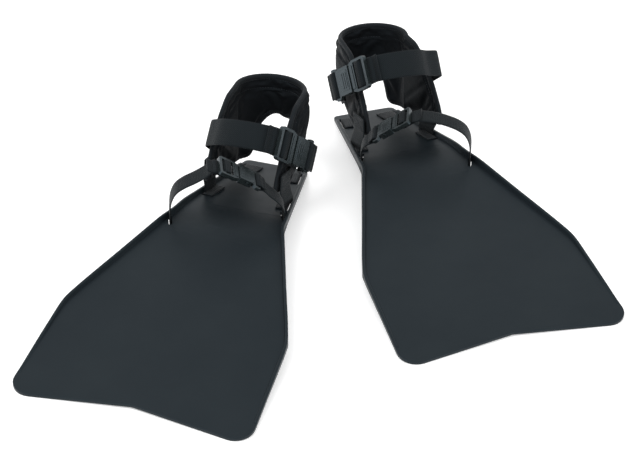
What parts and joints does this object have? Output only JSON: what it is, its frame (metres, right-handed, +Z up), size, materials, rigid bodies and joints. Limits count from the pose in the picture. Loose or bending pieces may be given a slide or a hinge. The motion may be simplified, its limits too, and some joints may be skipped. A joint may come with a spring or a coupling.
{
  "type": "swim fins",
  "caption": "Pair of black strap-on swim fins with wide stiff blades, padded heel cuffs, and ankle and instep webbing straps with side-release buckles",
  "frame": {"origin": "centre of the pair on the floor, which the blade tips and the heel edges touch", "axes": "+X across the pair from the left fin to the right one, +Y from the blade tips to the heels, +Z up"},
  "size_m": [0.7872, 0.7818, 0.1794],
  "materials": {
    "plate_plastic": "satin moulded plastic, faint grain",
    "webbing": "woven nylon webbing",
    "cuff_fabric": "padded nylon cloth",
    "cuff_foam": "closed-cell foam",
    "buckle_plastic": "glossy moulded plastic"
  },
  "bodies": {
    "left_fin": {"left_blade": "plate_plastic", "left_heel_webbing": "webbing", "left_cuff_anchor_inner": "webbing", "left_cuff_anchor_outer": "webbing", "left_foot_strap_anchors": "webbing"},
    "left_cuff": {"left_cuff_leg_inner": "webbing", "left_cuff_leg_outer": "webbing", "left_cuff_cover": "cuff_fabric", "left_cuff_foam": "cuff_foam", "left_cuff_lining": "cuff_fabric", "left_cuff_binding": "webbing", "left_ankle_strap": "webbing", "left_ankle_buckle_webbing": "webbing", "left_ankle_plug": "buckle_plastic", "left_ankle_socket": "buckle_plastic"},
    "left_instep": {"left_foot_strap": "webbing", "left_foot_buckle_webbing": "webbing", "left_foot_plug": "buckle_plastic", "left_foot_socket": "buckle_plastic"},
    "left_ankle_prong_upper_body": {"left_ankle_prong_upper": "buckle_plastic"},
    "left_ankle_prong_lower_body": {"left_ankle_prong_lower": "buckle_plastic"},
    "left_foot_prong_rear_body": {"left_foot_prong_rear": "buckle_plastic"},
    "left_foot_prong_front_body": {"left_foot_prong_front": "buckle_plastic"},
    "right_fin": {"right_blade": "plate_plastic", "right_heel_webbing": "webbing", "right_cuff_anchor_inner": "webbing", "right_cuff_anchor_outer": "webbing", "right_foot_strap_anchors": "webbing"},
    "right_cuff": {"right_cuff_leg_inner": "webbing", "right_cuff_leg_outer": "webbing", "right_cuff_cover": "cuff_fabric", "right_cuff_foam": "cuff_foam", "right_cuff_lining": "cuff_fabric", "right_cuff_binding": "webbing", "right_ankle_strap": "webbing", "right_ankle_buckle_webbing": "webbing", "right_ankle_plug": "buckle_plastic", "right_ankle_socket": "buckle_plastic"},
    "right_instep": {"right_foot_strap": "webbing", "right_foot_buckle_webbing": "webbing", "right_foot_plug": "buckle_plastic", "right_foot_socket": "buckle_plastic"},
    "right_ankle_prong_upper_body": {"right_ankle_prong_upper": "buckle_plastic"},
    "right_ankle_prong_lower_body": {"right_ankle_prong_lower": "buckle_plastic"},
    "right_foot_prong_rear_body": {"right_foot_prong_rear": "buckle_plastic"},
    "right_foot_prong_front_body": {"right_foot_prong_front": "buckle_plastic"}
  },
  "joints": [
    {"name": "between_fins", "type": "slide", "parent": "left_fin", "child": "right_fin", "axis": [1, 0, 0], "range_m": [0, 0.25]},
    {"name": "left_cuff_fold", "type": "hinge", "parent": "left_fin", "child": "left_cuff", "pos_m": [-0.10451, 0.09413, 0.03376], "axis": [0.9508, -0.3098, 0], "range_deg": [-6, 10]},
    {"name": "left_instep_swing", "type": "hinge", "parent": "left_fin", "child": "left_instep", "pos_m": [-0.13309, 0.02901, 0.04498], "axis": [0.9939, 0.1018, -0.0432], "range_deg": [-22, 10]},
    {"name": "left_ankle_prong_upper_squeeze", "type": "hinge", "parent": "left_cuff", "child": "left_ankle_prong_upper_body", "pos_m": [-0.03852, 0.10108, 0.12111], "axis": [-0.7985, 0.5421, -0.2617], "range_deg": [0, 14], "stiffness_Nm_per_rad": 0.05},
    {"name": "left_ankle_prong_lower_squeeze", "type": "hinge", "parent": "left_cuff", "child": "left_ankle_prong_lower_body", "pos_m": [-0.04444, 0.08294, 0.10156], "axis": [0.7985, -0.5421, 0.2617], "range_deg": [0, 14], "stiffness_Nm_per_rad": 0.05},
    {"name": "left_foot_prong_front_squeeze", "type": "hinge", "parent": "left_instep", "child": "left_foot_prong_front_body", "pos_m": [-0.11495, 0.01118, 0.11753], "axis": [0.5455, -0.06, 0.8359], "range_deg": [0, 14], "stiffness_Nm_per_rad": 0.05},
    {"name": "left_foot_prong_rear_squeeze", "type": "hinge", "parent": "left_instep", "child": "left_foot_prong_rear_body", "pos_m": [-0.11663, 0.02854, 0.11987], "axis": [-0.5455, 0.06, -0.8359], "range_deg": [0, 14], "stiffness_Nm_per_rad": 0.05},
    {"name": "right_cuff_fold", "type": "hinge", "parent": "right_fin", "child": "right_cuff", "pos_m": [0.10451, 0.24413, 0.03376], "axis": [0.9508, 0.3098, 0], "range_deg": [-6, 10]},
    {"name": "right_instep_swing", "type": "hinge", "parent": "right_fin", "child": "right_instep", "pos_m": [0.13309, 0.17901, 0.04498], "axis": [0.9939, -0.1018, 0.0432], "range_deg": [-22, 10]},
    {"name": "right_ankle_prong_upper_squeeze", "type": "hinge", "parent": "right_cuff", "child": "right_ankle_prong_upper_body", "pos_m": [0.03712, 0.25538, 0.14366], "axis": [-0.7985, -0.5421, 0.2617], "range_deg": [0, 14], "stiffness_Nm_per_rad": 0.05},
    {"name": "right_ankle_prong_lower_squeeze", "type": "hinge", "parent": "right_cuff", "child": "right_ankle_prong_lower_body", "pos_m": [0.04304, 0.23723, 0.12411], "axis": [0.7985, 0.5421, -0.2617], "range_deg": [0, 14], "stiffness_Nm_per_rad": 0.05},
    {"name": "right_foot_prong_front_squeeze", "type": "hinge", "parent": "right_instep", "child": "right_foot_prong_front_body", "pos_m": [0.0962, 0.16541, 0.09959], "axis": [0.643, 0.041, -0.7648], "range_deg": [0, 14], "stiffness_Nm_per_rad": 0.05},
    {"name": "right_foot_prong_rear_squeeze", "type": "hinge", "parent": "right_instep", "child": "right_foot_prong_rear_body", "pos_m": [0.09788, 0.18277, 0.10194], "axis": [-0.643, -0.041, 0.7648], "range_deg": [0, 14], "stiffness_Nm_per_rad": 0.05}
  ],
  "couplings": [
    {"joint": "left_ankle_prong_lower_squeeze", "follows": "left_ankle_prong_upper_squeeze", "ratio": 1},
    {"joint": "left_foot_prong_rear_squeeze", "follows": "left_foot_prong_front_squeeze", "ratio": 1},
    {"joint": "right_ankle_prong_lower_squeeze", "follows": "right_ankle_prong_upper_squeeze", "ratio": 1},
    {"joint": "right_foot_prong_rear_squeeze", "follows": "right_foot_prong_front_squeeze", "ratio": 1}
  ]
}
